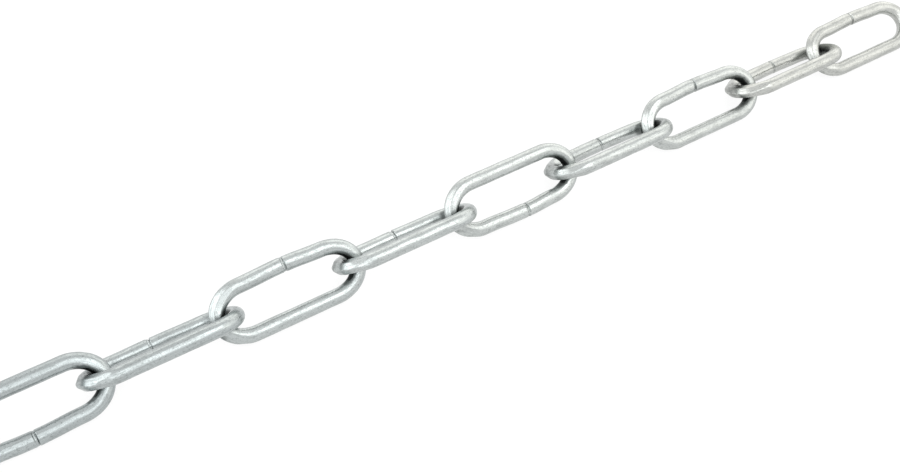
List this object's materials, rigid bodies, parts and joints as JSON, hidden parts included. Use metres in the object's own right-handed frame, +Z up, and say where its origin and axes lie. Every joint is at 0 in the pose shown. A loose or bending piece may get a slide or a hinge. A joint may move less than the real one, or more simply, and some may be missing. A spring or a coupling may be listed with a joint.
{
  "type": "long link steel chain",
  "caption": "Length of bright zinc-plated long link chain, butt-jointed round wire links lying straight, each free to swing in its neighbour",
  "frame": {"origin": "centre of the run, on the level surface that it lies on", "axes": "+X along the run towards its last link, the end seen at the picture's upper right; +Y across the run, away from the picture's camera; +Z up"},
  "size_m": [0.9756, 0.015, 0.0132],
  "materials": {
    "zinc_plated_steel": "bright zinc plating over drawn wire, satin with fine lengthwise draw lines"
  },
  "bodies": {
    "link_01": {"link_01": "zinc_plated_steel"},
    "link_02": {"link_02": "zinc_plated_steel"},
    "link_03": {"link_03": "zinc_plated_steel"},
    "link_04": {"link_04": "zinc_plated_steel"},
    "link_05": {"link_05": "zinc_plated_steel"},
    "link_06": {"link_06": "zinc_plated_steel"},
    "link_07": {"link_07": "zinc_plated_steel"},
    "link_08": {"link_08": "zinc_plated_steel"},
    "link_09": {"link_09": "zinc_plated_steel"},
    "link_10": {"link_10": "zinc_plated_steel"},
    "link_11": {"link_11": "zinc_plated_steel"},
    "link_12": {"link_12": "zinc_plated_steel"},
    "link_13": {"link_13": "zinc_plated_steel"},
    "link_14": {"link_14": "zinc_plated_steel"},
    "link_15": {"link_15": "zinc_plated_steel"},
    "link_16": {"link_16": "zinc_plated_steel"},
    "link_17": {"link_17": "zinc_plated_steel"},
    "link_18": {"link_18": "zinc_plated_steel"},
    "link_19": {"link_19": "zinc_plated_steel"},
    "link_20": {"link_20": "zinc_plated_steel"},
    "link_21": {"link_21": "zinc_plated_steel"},
    "link_22": {"link_22": "zinc_plated_steel"},
    "link_23": {"link_23": "zinc_plated_steel"},
    "link_24": {"link_24": "zinc_plated_steel"},
    "link_25": {"link_25": "zinc_plated_steel"},
    "link_26": {"link_26": "zinc_plated_steel"},
    "link_27": {"link_27": "zinc_plated_steel"},
    "link_28": {"link_28": "zinc_plated_steel"},
    "link_29": {"link_29": "zinc_plated_steel"},
    "link_30": {"link_30": "zinc_plated_steel"},
    "link_31": {"link_31": "zinc_plated_steel"}
  },
  "joints": [
    {"name": "swing_17", "type": "hinge", "parent": "link_16", "child": "link_17", "pos_m": [0.01784, 0, 0.00632], "axis": [0, -0.6691, 0.7431], "range_deg": [-120, 120]},
    {"name": "swing_18", "type": "hinge", "parent": "link_17", "child": "link_18", "pos_m": [0.04941, 0, 0.00602], "axis": [0, 0.7431, 0.6691], "range_deg": [-120, 120]},
    {"name": "swing_19", "type": "hinge", "parent": "link_18", "child": "link_19", "pos_m": [0.08084, 0, 0.00676], "axis": [0, 0.5878, -0.809], "range_deg": [-120, 120]},
    {"name": "swing_20", "type": "hinge", "parent": "link_19", "child": "link_20", "pos_m": [0.11182, 0, 0.00553], "axis": [0, -0.6428, -0.766], "range_deg": [-120, 120]},
    {"name": "swing_21", "type": "hinge", "parent": "link_20", "child": "link_21", "pos_m": [0.14309, 0, 0.00611], "axis": [0, -0.5446, 0.8387], "range_deg": [-120, 120]},
    {"name": "swing_22", "type": "hinge", "parent": "link_21", "child": "link_22", "pos_m": [0.1742, 0, 0.00549], "axis": [0, 0.4848, 0.8746], "range_deg": [-120, 120]},
    {"name": "swing_23", "type": "hinge", "parent": "link_22", "child": "link_23", "pos_m": [0.20482, 0, 0.0051], "axis": [0, 0.6018, -0.7986], "range_deg": [-120, 120]},
    {"name": "swing_24", "type": "hinge", "parent": "link_23", "child": "link_24", "pos_m": [0.23522, 0, 0.00585], "axis": [0, -0.6691, -0.7431], "range_deg": [-120, 120]},
    {"name": "swing_25", "type": "hinge", "parent": "link_24", "child": "link_25", "pos_m": [0.26668, 0, 0.00628], "axis": [0, -0.7193, 0.6947], "range_deg": [-120, 120]},
    {"name": "swing_26", "type": "hinge", "parent": "link_25", "child": "link_26", "pos_m": [0.29828, 0, 0.00632], "axis": [0, 0.6691, 0.7431], "range_deg": [-120, 120]},
    {"name": "swing_27", "type": "hinge", "parent": "link_26", "child": "link_27", "pos_m": [0.32988, 0, 0.00628], "axis": [0, 0.7431, -0.6691], "range_deg": [-120, 120]},
    {"name": "swing_28", "type": "hinge", "parent": "link_27", "child": "link_28", "pos_m": [0.36141, 0, 0.00676], "axis": [0, -0.5878, -0.809], "range_deg": [-120, 120]},
    {"name": "swing_29", "type": "hinge", "parent": "link_28", "child": "link_29", "pos_m": [0.39259, 0, 0.00576], "axis": [0, -0.6428, 0.766], "range_deg": [-120, 120]},
    {"name": "swing_30", "type": "hinge", "parent": "link_29", "child": "link_30", "pos_m": [0.42417, 0, 0.00586], "axis": [0, 0.5446, 0.8387], "range_deg": [-120, 120]},
    {"name": "swing_31", "type": "hinge", "parent": "link_30", "child": "link_31", "pos_m": [0.45553, 0, 0.00549], "axis": [0, 0.4848, -0.8746], "range_deg": [-120, 120]},
    {"name": "swing_15", "type": "hinge", "parent": "link_16", "child": "link_15", "pos_m": [-0.01816, 0, 0.00632], "axis": [0, -0.6691, 0.7431], "range_deg": [-120, 120]},
    {"name": "swing_14", "type": "hinge", "parent": "link_15", "child": "link_14", "pos_m": [-0.04973, 0, 0.00602], "axis": [0, 0.6018, 0.7986], "range_deg": [-120, 120]},
    {"name": "swing_13", "type": "hinge", "parent": "link_14", "child": "link_13", "pos_m": [-0.0813, 0, 0.00585], "axis": [0, 0.4848, -0.8746], "range_deg": [-120, 120]},
    {"name": "swing_12", "type": "hinge", "parent": "link_13", "child": "link_12", "pos_m": [-0.11132, 0, 0.00491], "axis": [0, -0.5446, -0.8387], "range_deg": [-120, 120]},
    {"name": "swing_11", "type": "hinge", "parent": "link_12", "child": "link_11", "pos_m": [-0.14198, 0, 0.00527], "axis": [0, -0.6428, 0.766], "range_deg": [-120, 120]},
    {"name": "swing_10", "type": "hinge", "parent": "link_11", "child": "link_10", "pos_m": [-0.17314, 0, 0.00586], "axis": [0, 0.5878, 0.809], "range_deg": [-120, 120]},
    {"name": "swing_09", "type": "hinge", "parent": "link_10", "child": "link_09", "pos_m": [-0.2046, 0, 0.00553], "axis": [0, 0.7431, -0.6691], "range_deg": [-120, 120]},
    {"name": "swing_08", "type": "hinge", "parent": "link_09", "child": "link_08", "pos_m": [-0.23583, 0, 0.00646], "axis": [0, -0.6691, -0.7431], "range_deg": [-120, 120]},
    {"name": "swing_07", "type": "hinge", "parent": "link_08", "child": "link_07", "pos_m": [-0.26742, 0, 0.00628], "axis": [0, -0.7193, 0.6947], "range_deg": [-120, 120]},
    {"name": "swing_06", "type": "hinge", "parent": "link_07", "child": "link_06", "pos_m": [-0.29902, 0, 0.00632], "axis": [0, 0.6691, 0.7431], "range_deg": [-120, 120]},
    {"name": "swing_05", "type": "hinge", "parent": "link_06", "child": "link_05", "pos_m": [-0.33062, 0, 0.00628], "axis": [0, 0.6018, -0.7986], "range_deg": [-120, 120]},
    {"name": "swing_04", "type": "hinge", "parent": "link_05", "child": "link_04", "pos_m": [-0.36207, 0, 0.00585], "axis": [0, -0.4848, -0.8746], "range_deg": [-120, 120]},
    {"name": "swing_03", "type": "hinge", "parent": "link_04", "child": "link_03", "pos_m": [-0.39248, 0, 0.0051], "axis": [0, -0.5446, 0.8387], "range_deg": [-120, 120]},
    {"name": "swing_02", "type": "hinge", "parent": "link_03", "child": "link_02", "pos_m": [-0.42346, 0, 0.00527], "axis": [0, 0.6428, 0.766], "range_deg": [-120, 120]},
    {"name": "swing_01", "type": "hinge", "parent": "link_02", "child": "link_01", "pos_m": [-0.45432, 0, 0.00611], "axis": [0, 0.5878, -0.809], "range_deg": [-120, 120]}
  ]
}
